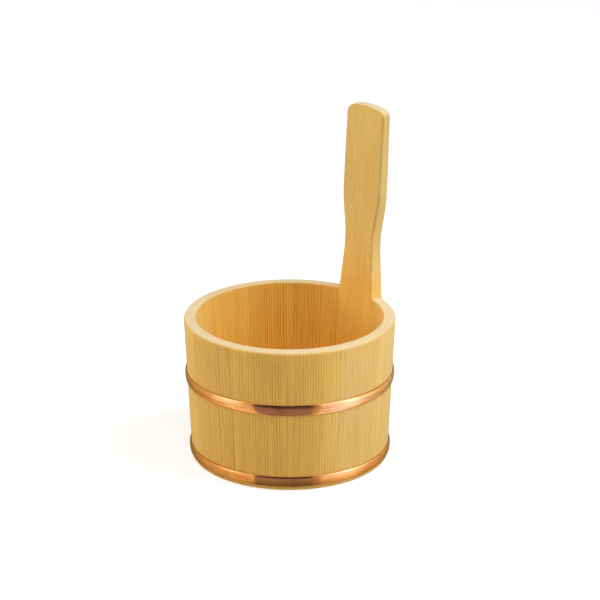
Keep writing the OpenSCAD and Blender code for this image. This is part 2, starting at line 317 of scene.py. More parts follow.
class StageSettings(bpy.types.PropertyGroup):
    """The camera, the lamps and the floor."""

    lens: number("Lens", "Focal length on a 36 mm sensor", 138.0, unit="CAMERA")
    pitch: angle("Pitch", "Fall of the view below the horizon", 20.403)
    aim_x: length("Aim across", "X of the point that the camera looks at", 0.008757)
    aim_z: length("Aim height", "Z of the point that the camera looks at", 0.137925)
    distance: length("Distance", "From the camera to that point", 1.948464)
    right_lamp: power("Right lamp", "Power of the lamp at the right", 29.8)
    left_lamp: power("Left lamp", "Power of the lamp at the left", 18.6)
    high_lamp: power("High lamp", "Power of the lamp high at the right", 42.5)
    front_lamp: power("Front lamp", "Power of the lamp high in front", 30.0)
    back_lamp: power("Back lamp", "Power of the lamp behind at the left", 44.0)
    low_lamp: power("Low lamp", "Power of the lamp under the floor, for the underside", 22.0)
    ambient: share("Ambient", "Strength of the even light of the room", 0.20)
    room_height: length("Room height", "Height of the walls that the hoops mirror", 2.5)
    floor_shade: share("Floor shade", "Lightness of the floor", 0.55)
    floor_glow: share("Floor glow", "White that the floor adds where it is seen", 0.62)


class PailSettings(bpy.types.PropertyGroup):
    """Everything that can be set on the pail and its stage."""

    pail: PointerProperty(type=PailSizes)
    handle: PointerProperty(type=HandleSizes)
    floor: PointerProperty(type=FloorSizes)
    hoop: PointerProperty(type=HoopSizes)
    wood: PointerProperty(type=WoodFinish)
    copper: PointerProperty(type=CopperFinish)
    bamboo: PointerProperty(type=BambooFinish)
    stage: PointerProperty(type=StageSettings)


# Meshes


def grid_faces(rows, columns, ring=False, tube=True):
    """Quads between the neighbouring points of a grid. A tube's last column joins its first, and a
    ring's last row joins its first."""
    row = np.arange(rows if ring else rows - 1)[:, None]
    column = np.arange(columns if tube else columns - 1)[None, :]
    ahead = (row + 1) % rows
    beside = (column + 1) % columns
    corners = ((row, column), (ahead, column), (ahead, beside), (row, beside))
    quads = np.stack([line * columns + spot for line, spot in corners], axis=-1)
    return quads.reshape(-1, 4).tolist()


def plain_caps(rows, columns):
    """One face over each end of a tube."""
    first = np.arange(columns)
    last = first + (rows - 1) * columns
    return [first.tolist(), last[::-1].tolist()]


def ladder_caps(rows, columns):
    """Rungs over each end of a tube, from each point of a loop's first half to the one across."""
    near = np.arange(columns // 2 - 1)
    rungs = np.stack([near, near + 1, columns - 2 - near, columns - 1 - near], axis=-1)
    last = rungs[:, ::-1] + (rows - 1) * columns
    return rungs.tolist() + last.tolist()


def capped(points, caps):
    """The points of a tube in one list, and its faces, with those over its two ends."""
    rows, columns = points.shape[:2]
    return points.reshape(-1, 3), grid_faces(rows, columns) + caps(rows, columns)


def put(name, data):
    """Puts a new object in the scene, which shows a mesh, a lamp or a camera."""
    shown = bpy.data.objects.new(name, data)
    bpy.context.scene.collection.objects.link(shown)
    return shown


def surface_mesh(name, points, faces, material):
    """A mesh over a grid of points."""
    mesh = bpy.data.meshes.new(name)
    mesh.from_pydata(points.reshape(-1, 3).tolist(), [], faces)
    mesh.materials.append(material)
    return mesh


def add_piece(name, points, faces, material, nodes, attributes):
    """Puts a mesh in the scene as a piece that stands for CAD nodes.
    Attributes are arrays of one number or of three numbers to a point."""
    mesh = surface_mesh(name, points, faces, material)
    for key, values in attributes.items():
        vector = values.ndim == 2
        layer = mesh.attributes.new(key, "FLOAT_VECTOR" if vector else "FLOAT", "POINT")
        layer.data.foreach_set("vector" if vector else "value", values.astype(np.float32).ravel())
    mesh.shade_smooth()
    mesh.set_sharp_from_angle(angle=CREASE)
    if mesh.validate():
        raise RuntimeError(f"the mesh of {name} has bad faces")
    piece = put(name, mesh)
    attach(piece, "root")
    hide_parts(*nodes)
    return piece


# Shapes


def taper(pail):
    """Growth of the pail's radius for each metre of height."""
    return (pail.rim_diameter - pail.foot_diameter) / 2 / pail.body_height


def outer_radius(pail, z):
    """Radius of the wall's outer face: a cone from foot to rim."""
    return pail.foot_diameter / 2 + taper(pail) * z


def inner_radius(pail, z):
    """Radius of the wall's inner face: the outer cone less the wall."""
    return outer_radius(pail, z) - pail.wall


def ease(t):
    """A half wave of the cosine: 0 at 0, 1 at 1, level at both."""
    return (1 - np.cos(np.pi * np.clip(t, 0, 1))) / 2


def arc(centre, radius, start, stop, steps=9):
    """Points on a circle about a centre, their angle running evenly from start to stop."""
    q = np.linspace(start, stop, steps)
    return np.stack([centre[0] + radius * np.cos(q), centre[1] + radius * np.sin(q)], axis=1)


def rotated(x, y, turn):
    """Two coordinates turned by an angle a: (x cos a - y sin a, x sin a + y cos a)."""
    c, s = math.cos(turn), math.sin(turn)
    return x * c - y * s, x * s + y * c


def turned(radius, q, z):
    """Points at radii and heights, turned about Z by the angles q: (r cos q, r sin q, z)."""
    return np.stack(np.broadcast_arrays(radius * np.cos(q), radius * np.sin(q), z), axis=-1)


def joint_steps(r, span, steps):
    """Distances from a joint: close together on its eased edge, then even up to the span."""
    return np.concatenate([r * EASE_STEPS, np.linspace(r, span, steps)])


def easing(distance, r):
    """How far an edge of radius r falls back at a distance d from its joint: r - sqrt(r^2 -
    (r - d)^2), and nothing beyond the radius."""
    return r - np.sqrt(np.maximum(r * r - np.maximum(r - distance, 0) ** 2, 0))


def loop_normals(loop):
    """Outward normals of a loop that runs anticlockwise: the chord between a point's two
    neighbours, turned by a right angle."""
    chord = np.roll(loop, -1, axis=0) - np.roll(loop, 1, axis=0)
    normal = np.stack([chord[:, 1], -chord[:, 0]], axis=1)
    return normal / np.linalg.norm(normal, axis=1, keepdims=True)


def groove_heights(floor):
    """Heights of the lower and the upper side of the groove: the tongue's, with the fit."""
    return floor.top - floor.tongue - floor.fit, floor.top + floor.fit


def stave_section(pail, floor):
    """Outline of a stave in radius and height, anticlockwise from the inner edge of the foot:
    chamfered foot, leaning outer face, rounded rim, leaning inner face with the floor's groove."""
    lean = math.atan(taper(pail))
    stretch = math.hypot(1, taper(pail))
    chamfer = pail.foot_chamfer
    out_z = pail.body_height - pail.rim_round_out
    in_z = pail.body_height - pail.rim_round_in
    out_centre = (outer_radius(pail, out_z) - pail.rim_round_out * stretch, out_z)
    in_centre = (inner_radius(pail, in_z) + pail.rim_round_in * stretch, in_z)
    low, high = groove_heights(floor)
    return np.concatenate([
        [(inner_radius(pail, 0) + chamfer, 0), (outer_radius(pail, 0) - chamfer, 0)],
        [(outer_radius(pail, chamfer), chamfer)],
        arc(out_centre, pail.rim_round_out, -lean, math.pi / 2),
        arc(in_centre, pail.rim_round_in, math.pi / 2, math.pi - lean),
        [(inner_radius(pail, high), high), (inner_radius(pail, high) + floor.groove_depth, high)],
        [(inner_radius(pail, low) + floor.groove_depth, low), (inner_radius(pail, low), low)],
        [(inner_radius(pail, chamfer), chamfer)],
    ])


def stave_surface(pail, floor, azimuth):
    """A stave as a grid of joint-to-joint columns by section points.
    Each column is the section turned about Z. Near a joint the section shrinks along its normals,
    so that its edges are eased. Where its normal is upright, the surface is end grain, which the
    wood's material paints pale, partly for the cut fibre and partly as painted light from above."""
    section = stave_section(pail, floor)
    normals = loop_normals(section)
    half = math.pi / pail.stave_count
    span = half * pail.rim_diameter / 2
    half_steps = joint_steps(pail.joint_ease, span, STAVE_STEPS)
    distance = np.concatenate([half_steps, half_steps[-2::-1]])
    turn = np.concatenate([half_steps - span, (span - half_steps)[-2::-1]]) / span * half
    shrink = easing(distance, pail.joint_ease)
    grid = section[None, :, :] - shrink[:, None, None] * normals[None, :, :]
    points = turned(grid[..., 0], (azimuth + turn)[:, None], grid[..., 1])
    return *capped(points, plain_caps), np.tile(np.abs(normals[:, 1]), len(points))


def flat_face(pail, z):
    """Distance from the axis to the handle stave's flat inner face, which runs from the inner
    corner of one joint to that of the other."""
    return inner_radius(pail, z) * math.cos(math.pi / pail.stave_count)


def handle_half_width(pail, handle, rise):
    """Half the handle's width at a height above the rim: a power curve from the stave's joints
    to the waist, half a cosine wave from the waist to the grip, and level above it."""
    half = math.pi / pail.stave_count
    root = flat_face(pail, pail.body_height) * math.tan(half) - handle.shoulder / math.cos(half)
    waist, grip = handle.waist_width / 2, handle.grip_width / 2
    left = 1 - np.clip(rise / handle.waist_rise, 0, 1)
    spread = (rise - handle.waist_rise) / (handle.grip_rise - handle.waist_rise)
    return waist + (root - waist) * left**WAIST_POWER + (grip - waist) * ease(spread)


def body_rings(pail, floor):
    """Rings of the handle stave up to the rim: chamfered foot, round inner face, groove for the
    floor, and flat inner face. The outer face's points step over the groove's square edges."""
    half = math.pi / pail.stave_count
    chamfer, groove, step = pail.foot_chamfer, floor.groove_depth, 0.0004
    low, high = groove_heights(floor)
    z = np.array([0, chamfer, low, low, high, high, pail.body_height])
    lift = step * np.array([0, 0, -1, 1, -1, 1, 0])
    trim = chamfer * np.array([1, 0, 0, 0, 0, 0, 0])
    hollow = np.array([1, 1, 1, 1, 1, 0, 0])
    inner = inner_radius(pail, z) + trim + groove * np.array([0, 0, 0, 1, 1, 0, 0])
    outer = outer_radius(pail, z + lift) - trim
    face = inner * (1 - (1 - math.cos(half)) * (1 - hollow))
    return {
        "left_z": z, "right_z": z, "crown": 0 * z, "lift": lift,
        "left": inner * math.sin(half), "right": inner * math.sin(half), "inset": 0 * z,
        "face": face, "thick": outer - face, "edge": pail.joint_ease + 0 * z,
        "flare": outer / inner - 1, "outer": outer, "inner": inner, "hollow": hollow,
        "bend": 0 * z, "cut": trim / chamfer,
    }


def blade_rings(pail, handle):
    """Rings of the handle above the rim: level ones to the grip, then sides that tilt, the two
    corner arcs under the crown's parabola, and the rounding of the tip's edge."""
    rim, grip = pail.body_height, handle.grip_width / 2
    curve = handle.crown_drop / grip**2
    corners = np.array([handle.left_corner, handle.right_corner])
    turn = np.pi / 2 - np.arctan(2 * curve * (grip - corners))
    ends = grip - corners * (1 - np.cos(turn))
    top = rim + handle.height - handle.tip_round
    shoulders = top - curve * ends**2 - corners * np.sin(turn)

    rise = np.concatenate([[handle.shoulder], np.linspace(0, handle.grip_rise, GRIP_RINGS)[1:]])
    width = handle_half_width(pail, handle, rise)
    level = np.stack([rim + rise, rim + rise, 0 * rise, width, width], axis=1)
    part = np.linspace(0, 1, SIDE_RINGS)[1:, None]
    low = rim + handle.grip_rise
    sides = low + (shoulders - low) * part
    straight = np.concatenate([sides, part, grip + 0 * part, grip + 0 * part], axis=1)
    part = np.linspace(0, 1, CORNER_RINGS)[1:, None]
    heights = shoulders + corners * np.sin(turn * part)
    widths = grip - corners * (1 - np.cos(turn * part))
    bent = np.concatenate([heights, 1 + 0 * part, widths], axis=1)
    q = np.linspace(0, np.pi / 2, TIP_RINGS)[1:, None]
    inset = handle.tip_round * (1 - np.cos(q))
    heights = bent[-1, :2] + handle.tip_round * np.sin(q)
    tip = np.concatenate([heights, 1 + 0 * q, bent[-1, 3:] - inset], axis=1)

    rings = np.concatenate([level, straight, bent, tip])
    left_z, right_z, crown, left, right = rings.T
    zero = 0 * crown
    above = (left_z + right_z) / 2 - rim
    face, outer = flat_face(pail, rim), pail.rim_diameter / 2
    root = outer - face
    roundness = 1 - ease(above / handle.waist_rise)
    thick = root + (handle.tip_thickness - root) * above / handle.height
    inset = np.concatenate([zero[: -len(q)], inset[:, 0]])
    edge = handle.edge_round * (1 - (1 - ROOT_EDGE) * roundness)
    flat = zero[: len(level) + len(straight)]
    return {
        "left_z": left_z, "right_z": right_z, "crown": crown * curve, "lift": zero,
        "left": left, "right": right, "inset": inset, "face": face + zero, "thick": thick,
        "edge": np.minimum(edge, EDGE_LIMIT * (thick - 2 * inset)),
        "flare": roundness * (outer * math.cos(math.pi / pail.stave_count) / face - 1),
        "outer": outer + zero, "inner": face + zero, "hollow": zero,
        "bend": np.concatenate([flat, np.sin(part[:, 0] * np.pi / 2), np.ones(len(q))]),
        "cut": np.concatenate([zero[: -len(q)], np.sin(q[:, 0])]),
    }


def ring_section(left, right, thick, r, across=20, corner=6):
    """Outlines of rings in width and depth, from the right edge over the inner face to the left
    edge and back over the outer face: straight faces with quarter-round corners.
    With each point comes the share by which it faces sideways."""
    q = np.linspace(0, np.pi / 2, corner)[None, :]
    run = np.linspace(0, 1, across)[None, 1:-1]
    start = np.stack([-right + r * (1 - np.cos(q)), r * (1 - np.sin(q))], axis=-1)
    face = np.stack([r - right + (left + right - 2 * r) * run, 0 * (left + run)], axis=-1)
    stop = np.stack([left - r * (1 - np.sin(q)), r * (1 - np.cos(q))], axis=-1)
    inner = np.concatenate([start, face, stop], axis=1)
    outer = inner[:, ::-1].copy()
    outer[..., 1] = thick - outer[..., 1]
    sideways = np.concatenate([np.cos(q), 0 * run, np.sin(q)], axis=1)
    return np.concatenate([inner, outer], axis=1), np.concatenate([sideways, sideways], axis=1)


def handle_surface(pail, floor, handle):
    """The handle stave as a grid of rings by section points, from its foot to its tip.
    Up to the rim its outer face and its sides are those of a stave. Above it the inner face leans
    outwards, the outer face goes from round to flat by the waist, and the sides from radial to
    square. Towards the top the rings take the crown's parabola and the two corner arcs."""
    body, blade = body_rings(pail, floor), blade_rings(pail, handle)
    ring = {key: np.concatenate([body[key], blade[key]])[:, None] for key in body}
    left, right, thick, inset = ring["left"], ring["right"], ring["thick"], ring["inset"]
    section, sideways = ring_section(left, right, thick - 2 * inset, ring["edge"])
    width, depth = section[..., 0], section[..., 1] + inset

    u = (width + right) / (left + right)
    part = depth / thick
    z = ring["right_z"] + (ring["left_z"] - ring["right_z"]) * u + ring["lift"] * part
    z = z + ring["crown"] * (left + right) ** 2 * u * (1 - u)
    above = np.maximum(z - pail.body_height, 0)
    roundness = 1 - ease(above / handle.waist_rise)
    side = width * (1 + part * ring["flare"])
    out = ring["face"] + math.tan(handle.lean) * above + depth
    outer, inner = ring["outer"], ring["inner"]
    out = out - part * roundness * (outer - np.sqrt(outer**2 - side**2))
    out = out - (1 - part) * ring["hollow"] * (inner - np.sqrt(inner**2 - side**2))
    points = np.stack([*rotated(out, side, handle.azimuth), z], axis=-1)
    # Where the tip cuts across the fibre it takes the pale end-grain colour, which is partly
    # painted light from above.
    end = 1 - (1 - ring["cut"]) * (1 - ring["bend"] * sideways)
    return *capped(points, ladder_caps), end.ravel()


def plank_surface(pail, floor, number):
    """A floor plank as a grid of rows across it by a loop along it and back.
    At each place across, the upper line is level and ends on the floor's circle. The lower line
    is the floor's underside, whose height grows with the distance from the centre. Its points lie
    on the circles of tongue and bevel, and spread evenly where a row misses these."""
    edge = inner_radius(pail, floor.top) + floor.groove_depth - floor.fit
    tongue_z = floor.top - floor.tongue
    root = inner_radius(pail, tongue_z) - floor.fit
    width = 2 * edge / floor.plank_count
    r = floor.joint_ease
    steps = joint_steps(r, width / 2, PLANK_STEPS)
    across = np.concatenate([steps, (width - steps)[-2::-1]])
    shrink = easing(np.minimum(across, width - across), r)[:, None]
    last = edge - ROW_INSET
    x = np.clip(-edge + width * (number - 1) + across, -last, last)[:, None]

    radii = np.array([edge, edge - r, root, root - floor.bevel])
    reach = np.sqrt(np.maximum(radii**2 - x**2, 0))
    reach = np.maximum(reach, reach[:, :1] * ROW_SPREAD)
    y = np.concatenate([-reach, reach[:, -1:] * ROW_INSIDE, reach[:, ::-1]], axis=1)
    under = np.clip((np.hypot(x, y) - (root - floor.bevel)) / floor.bevel, 0, 1)
    drop = np.zeros(y.shape[1])
    drop[[0, -1]] = r
    upper = floor.top - shrink - drop
    lower = floor.underside + (tongue_z - floor.underside) * under + shrink
    loop_y = np.concatenate([y, y[:, ::-1]], axis=1)
    loop_z = np.concatenate([upper, lower[:, ::-1]], axis=1)
    points = np.stack(np.broadcast_arrays(x, loop_y, loop_z), axis=-1)
    return capped(points, ladder_caps)


def hoop_surface(pail, hoop, low, steps=288, across=21):
    """A hoop as a grid of places round it by section points.
    The section's back lies on the wall's cone and its face is half an ellipse on two thin edges.
    The mean of three sine waves round the pail gives it the unevenness of hammered work."""
    u = -np.cos(np.linspace(0, np.pi, across))
    z = np.concatenate([[low], low + hoop.height * (1 + u) / 2, [low + hoop.height]])
    swell = np.concatenate([[0], hoop.edge + (hoop.crown - hoop.edge) * np.sqrt(1 - u * u), [0]])
    q = np.linspace(0, 2 * np.pi, steps, endpoint=False)[:, None]
    wave = np.sin(HAMMERING[:, 0] * q + HAMMERING[:, 1]).mean(axis=1, keepdims=True)
    uneven = hoop.ripple * wave * (swell / hoop.crown) ** 2
    points = turned(outer_radius(pail, z) + hoop.fit + swell + uneven, q, z)
    return points.reshape(-1, 3), grid_faces(*points.shape[:2], ring=True)


def board_frame(points, name, azimuth):
    """Places of points in the board that a piece was cut from: across the growth rings, along
    them, and along the fibre, with the tree's heart at the origin.
    A point is turned into the piece's own frame, then by the board's ring angle. An upright piece
    faces its azimuth, and one without an azimuth lies along Y."""
    ring_turn, heart = BOARDS[name][:2]
    order = list(BOARDS).index(name)
    if azimuth is None:
        side, along, out = points.T
    else:
        along = points[:, 2]
        out, side = rotated(points[:, 0], points[:, 1], -azimuth)
    across, beside = rotated(side, out - out.mean(), -math.radians(ring_turn))
    lean = GRAIN_LEAN * math.sin(LEAN_STEP * order)
    return np.stack([heart + across + lean * along, beside, along + LOG_STEP * order], axis=1)


# Materials

# How fine the marks in the wood are: waves to the metre, twice across the fibre and once along it.
STRAY_WAVES, STREAK_WAVES, FLECK_WAVES = (60, 60, 9), (1100, 1100, 34), (820, 820, 46)
BAND_WAVES, STAIN_WAVES = (330, 330, 7), (38, 38, 11)

# Where in a ring its late wood rises and where it stops, and how the rings differ in width: waves
# to the metre across them, and how many rings at most.
LATE_RISE, LATE_STOP = (0.40, 0.85), (1.0, 0.90)
RING_WAVES, RING_SWING = 160.0, 0.9

# How far flecks and bands take the wood towards late wood, and streaks and stains its light.
FLECK_DEPTH, BAND_DEPTH, STREAK_LIGHT, STAIN_LIGHT = 0.16, (-0.09, 0.13), 0.045, 0.035

# How fine the marks in the copper and the bamboo are: waves to the metre along X, Y and Z.
CLOUD_WAVES, LINE_WAVES, MARK_WAVES = (70, 70, 240), (22, 22, 1100), (260, 260, 700)
BUNDLE_WAVES, SHADE_WAVES = (900, 900, 1600), (160, 160, 160)

# How far clouds, lines and marks take the copper towards dull, and bundles and shades the bamboo
# towards fibre.
CLOUD_DEPTH, LINE_DEPTH, MARK_DEPTH = 0.42, 0.60, 0.45
BUNDLE_DEPTH, SHADE_DEPTH = 0.6, 0.25

# Height in metres of the finest relief.
RELIEF = 0.00005


class Shader:
    """The nodes of a material or of a world, added one at a time, each with its inputs."""

    def __init__(self, owner):
        self.owner = owner
        owner.use_nodes = True
        self.tree = owner.node_tree
        self.tree.nodes.clear()

    def add(self, kind, inputs=None, **settings):
        """The outputs of a node with its settings, and its inputs set to values or joined."""
        node = self.tree.nodes.new("ShaderNode" + kind)
        for key, value in settings.items():
            setattr(node, key, value)
        for key, value in (inputs or {}).items():
            if isinstance(value, bpy.types.NodeSocket):
                self.tree.links.new(value, node.inputs[key])
            else:
                node.inputs[key].default_value = value
        return node.outputs

    def math(self, operation, a, b=0.0, c=0.0):
        """The result of one sum on numbers."""
        return self.add("Math", {0: a, 1: b, 2: c}, operation=operation)[0]

    def vector(self, operation, a, b):
        """The result of one sum on vectors."""
        return self.add("VectorMath", {0: a, 1: b}, operation=operation)[0]

    def noise(self, vector, scale, detail=2.0):
        """Smooth noise from 0 to 1, with its own scale along each axis of a vector."""
        place = self.vector("MULTIPLY", vector, scale)
        return self.add("TexNoise", {"Vector": place, "Scale": 1.0, "Detail": detail})[0]

    def remap(self, value, low, high, to_low=0.0, to_high=1.0):
        """A number carried smoothly from one range to another."""
        inputs = {0: value, 1: low, 2: high, 3: to_low, 4: to_high}
        return self.add("MapRange", inputs, interpolation_type="SMOOTHSTEP")[0]

    def swing(self, noise, low, high):
        """Noise carried from most of its own range to another one."""
        return self.remap(noise, 0.3, 0.7, low, high)

    def mix(self, factor, a, b):
        """Two colours mixed."""
        return self.add("Mix", {0: factor, 6: a, 7: b}, data_type="RGBA")[2]

    def bump(self, height, strength):
        """The normal of a surface with a fine relief."""
        inputs = {"Height": height, "Strength": strength, "Distance": RELIEF}
        return self.add("Bump", inputs)[0]

    def seen(self):
        """1 where something is seen, mirrored or looked at through glass, and 0 where it lights."""
        paths = self.add("LightPath")
        seen = self.math("MAXIMUM", paths["Is Camera Ray"], paths["Is Glossy Ray"])
        return self.math("MAXIMUM", seen, paths["Is Transmission Ray"])

    def finish(self, shader, output="OutputMaterial"):
        """Joins a shader to the output and gives the material or the world."""
        self.add(output, {"Surface": shader})
        return self.owner


def opaque(colour):
    """A colour with its alpha."""
    return (*colour, 1.0)


def wood_material(wood):
    """Bare straight-grained cypress.
    A ring is the distance from the tree's heart, bent by slow noise and divided by the ring
    spacing. Its dark late wood rises slowly, stops short, and is stronger in some years. Fine
    noise along the fibre makes the streaks and flecks, and slow noise the bands and stains."""
    shader = Shader(bpy.data.materials.new("bare_cypress"))
    grain = shader.add("Attribute", attribute_name="grain")["Vector"]
    rings = shader.add("Attribute", attribute_name="rings")["Vector"]
    rings = shader.add("SeparateXYZ", {0: rings})
    board_tone_and_light = shader.add("Attribute", attribute_name="tint")["Vector"]
    end = shader.add("Attribute", attribute_name="end")["Fac"]

    flat = shader.vector("MULTIPLY", grain, (1, 1, 0))
    heart = shader.add("VectorMath", {0: flat}, operation="LENGTH")["Value"]
    stray = shader.math("SUBTRACT", shader.noise(grain, STRAY_WAVES, 3.0), 0.5)
    stray = shader.math("MULTIPLY", stray, wood.wander)
    reach = shader.math("MULTIPLY_ADD", stray, rings[2], heart)
    inputs = {"W": reach, "Scale": RING_WAVES, "Detail": 1.0}
    uneven = shader.add("TexNoise", inputs, noise_dimensions="1D")[0]
    count = shader.math("DIVIDE", reach, rings[0])
    count = shader.math("MULTIPLY_ADD", uneven, RING_SWING, count)
    phase = shader.math("FRACT", count)
    ring = shader.math("FLOOR", count)
    season = shader.add("TexWhiteNoise", {"W": ring}, noise_dimensions="1D")["Value"]
    late = shader.remap(phase, *LATE_RISE)
    late = shader.math("MULTIPLY", late, shader.remap(phase, *LATE_STOP))
    late = shader.math("MULTIPLY", late, shader.remap(season, -0.2, 1.1, 0.50, 1.0))
    late = shader.math("MULTIPLY", late, rings[1])

    streak = shader.noise(grain, STREAK_WAVES, 3.0)
    fleck = shader.remap(shader.noise(grain, FLECK_WAVES), 0.56, 0.74)
    band = shader.swing(shader.noise(grain, BAND_WAVES), *BAND_DEPTH)
    stain = shader.swing(shader.noise(grain, STAIN_WAVES), -STAIN_LIGHT, STAIN_LIGHT)

    depth = shader.math("MULTIPLY", late, wood.contrast)
    depth = shader.math("MULTIPLY_ADD", fleck, FLECK_DEPTH, depth)
    depth = shader.math("ADD", depth, band)
    colour = shader.mix(depth, opaque(wood.early), opaque(wood.late))
    # The board's tint is partly its own tone and partly painted light: a cool sheen on the bluer
    # boards, painted shade on the darker one.
    colour = shader.vector("MULTIPLY", colour, board_tone_and_light)
    # The pale end-grain colour stands partly for the cut fibre and partly for painted light from
    # above.
    pale = shader.mix(shader.math("MULTIPLY", depth, 0.4), opaque(wood.end), opaque(wood.early))
    colour = shader.mix(shader.remap(end, 0.45, 0.95), colour, pale)
    light = shader.math("ADD", shader.swing(streak, 1 - STREAK_LIGHT, 1 + STREAK_LIGHT), stain)
    colour = shader.add("VectorMath", {0: colour, "Scale": light}, operation="SCALE")[0]

    relief = shader.math("MULTIPLY_ADD", late, 0.6, streak)
    rough = shader.remap(streak, 0.2, 0.8, wood.roughness - 0.07, wood.roughness + 0.07)
    return shader.finish(shader.add("BsdfPrincipled", {
        "Base Color": colour, "Roughness": rough, "Specular IOR Level": 0.52,
        "Sheen Weight": 0.12, "Sheen Roughness": 0.45, "Normal": shader.bump(relief, 0.25),
    })[0])


def copper_material(copper):
    """Drawn copper: fine lines run round the hoop in its colour and its gloss, and it has darkened
    in clouds and small marks."""
    shader = Shader(bpy.data.materials.new("drawn_copper"))
    place = shader.add("TexCoord")["Object"]
    cloud = shader.remap(shader.noise(place, CLOUD_WAVES, 4.0), 0.44, 0.66)
    line = shader.noise(place, LINE_WAVES, 3.0)
    mark = shader.remap(shader.noise(place, MARK_WAVES), 0.60, 0.78)
    dull = shader.remap(line, 0.42, 0.66, 0.0, LINE_DEPTH)
    dull = shader.math("MULTIPLY_ADD", cloud, CLOUD_DEPTH, dull)
    dull = shader.math("MULTIPLY_ADD", mark, MARK_DEPTH, dull)
    colour = shader.mix(dull, opaque(copper.bright), opaque(copper.dull))
    rough = shader.remap(dull, 0.0, 0.8, copper.roughness, copper.roughness + 0.08)
    return shader.finish(shader.add("BsdfPrincipled", {
        "Base Color": colour, "Roughness": rough, "Metallic": 1.0,
        "Specular Tint": opaque(copper.edge), "Normal": shader.bump(line, 0.15),
        "Coat Weight": 0.7, "Coat IOR": 1.7, "Coat Roughness": copper.roughness,
    })[0])


def bamboo_material(bamboo):
    """Split bamboo: dark fibre bundles in a pale flesh, drawn out round the pail."""
    shader = Shader(bpy.data.materials.new("split_bamboo"))
    place = shader.add("TexCoord")["Object"]
    bundle = shader.remap(shader.noise(place, BUNDLE_WAVES), 0.50, 0.66)
    shade = shader.math("MULTIPLY", shader.noise(place, SHADE_WAVES), SHADE_DEPTH)
    depth = shader.math("MULTIPLY_ADD", bundle, BUNDLE_DEPTH, shade)
    colour = shader.mix(depth, opaque(bamboo.flesh), opaque(bamboo.fibre))
    return shader.finish(shader.add("BsdfPrincipled", {
        "Base Color": colour, "Roughness": 0.5, "Normal": shader.bump(bundle, 0.2),
    })[0])


def shared_material(name, make, finish):
    """The material of that name, made when it is first asked for."""
    return bpy.data.materials.get(name) or make(finish)


def wood_of(settings):
    """The material of every wooden piece."""
    return shared_material("bare_cypress", wood_material, settings.wood)


def wood_attributes(points, end, name, azimuth=None):
    """What the wood's material reads at each point: its place in its board, the board's rings and
    tint, which is partly painted light and shade, and how far the surface cuts across the fibre,
    where the pale end-grain colour is partly painted light from above."""
    return {
        "grain": board_frame(points, name, azimuth),
        "rings": np.tile(BOARDS[name][2:5], (len(points), 1)),
        "tint": np.tile(BOARDS[name][5], (len(points), 1)),
        "end": end,
    }


# Operators


class PAIL_OT_staves(bpy.types.Operator):
    """Build the staves of the wall"""

    bl_idname = "pail.staves"
    bl_label = "Wall Staves"

    def execute(self, context):
        settings = context.scene.bath_pail
        pail = settings.pail
        for number in range(1, pail.stave_count):
            name = f"stave_{number:02d}"
            azimuth = settings.handle.azimuth + 2 * math.pi * number / pail.stave_count
            points, faces, end = stave_surface(pail, settings.floor, azimuth)
            looks = wood_attributes(points, end, name, azimuth)
            wood = wood_of(settings)
            add_piece(f"wall_{name}", points, faces, wood, [name], looks)
        return {"FINISHED"}


class PAIL_OT_handle(bpy.types.Operator):
    """Build the long stave that is the handle"""

    bl_idname = "pail.handle"
    bl_label = "Handle Stave"

    def execute(self, context):
        settings = context.scene.bath_pail
        pail, handle = settings.pail, settings.handle
        points, faces, end = handle_surface(pail, settings.floor, handle)
        looks = wood_attributes(points, end, "handle_stave", handle.azimuth)
        rise = points[:, 2] - pail.body_height
        side = rotated(points[:, 0], points[:, 1], -handle.azimuth)[1]
        half = handle_half_width(pail, handle, rise)
        # Painted shade: the handle is darkened up the grip and along its long edges, where a shade
        # line runs between face and side.
        edge = np.clip((np.abs(side) / half - 1) / EDGE_SHADE_SHARE + 1, 0, 1)
        edge = edge * ease(rise / handle.waist_rise)
        grip_shade = ease(rise / handle.grip_rise)
        looks["tint"] *= 1 - handle.painted_grip_shade * (grip_shade + edge)[:, None]
        # Paler up the handle: mixed towards the pale end-grain colour.
        looks["end"] = np.maximum(end, handle.grip_paleness * ease(rise / handle.grip_paleness_rise))
        wood = wood_of(settings)
        nodes = ["handle_stave"]
        add_piece("long_handle_stave", points, faces, wood, nodes, looks)
        return {"FINISHED"}


class PAIL_OT_floor(bpy.types.Operator):
    """Build the planks of the floor"""

    bl_idname = "pail.floor"
    bl_label = "Floor Planks"

    def execute(self, context):
        settings = context.scene.bath_pail
        for number in range(1, settings.floor.plank_count + 1):
            name = f"floor_plank_{number:02d}"
            points, faces = plank_surface(settings.pail, settings.floor, number)
            looks = wood_attributes(points, np.zeros(len(points)), name)
            wood = wood_of(settings)
            add_piece(f"grooved_{name}", points, faces, wood, [name], looks)
        return {"FINISHED"}


class PAIL_OT_hoops(bpy.types.Operator):
    """Build the two copper hoops"""

    bl_idname = "pail.hoops"
    bl_label = "Copper Hoops"

    def execute(self, context):
        settings = context.scene.bath_pail
        hoop = settings.hoop
        copper = shared_material("drawn_copper", copper_material, settings.copper)
        for node, low in (("lower_hoop", hoop.lower_z), ("upper_hoop", hoop.upper_z)):
            points, faces = hoop_surface(settings.pail, hoop, low)
            add_piece(f"copper_{node}", points, faces, copper, [node], {})
        return {"FINISHED"}


class PAIL_OT_pegs(bpy.types.Operator):
    """Give the hidden pegs their bamboo"""

    bl_idname = "pail.pegs"
    bl_label = "Bamboo Pegs"

    def execute(self, context):
        finish = context.scene.bath_pail.bamboo
        bamboo = shared_material("split_bamboo", bamboo_material, finish)
        for node in ("floor_pegs", "lower_stave_pegs", "upper_stave_pegs"):
            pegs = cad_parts[node]
            pegs.data.materials.clear()
            pegs.data.materials.append(bamboo)
        return {"FINISHED"}


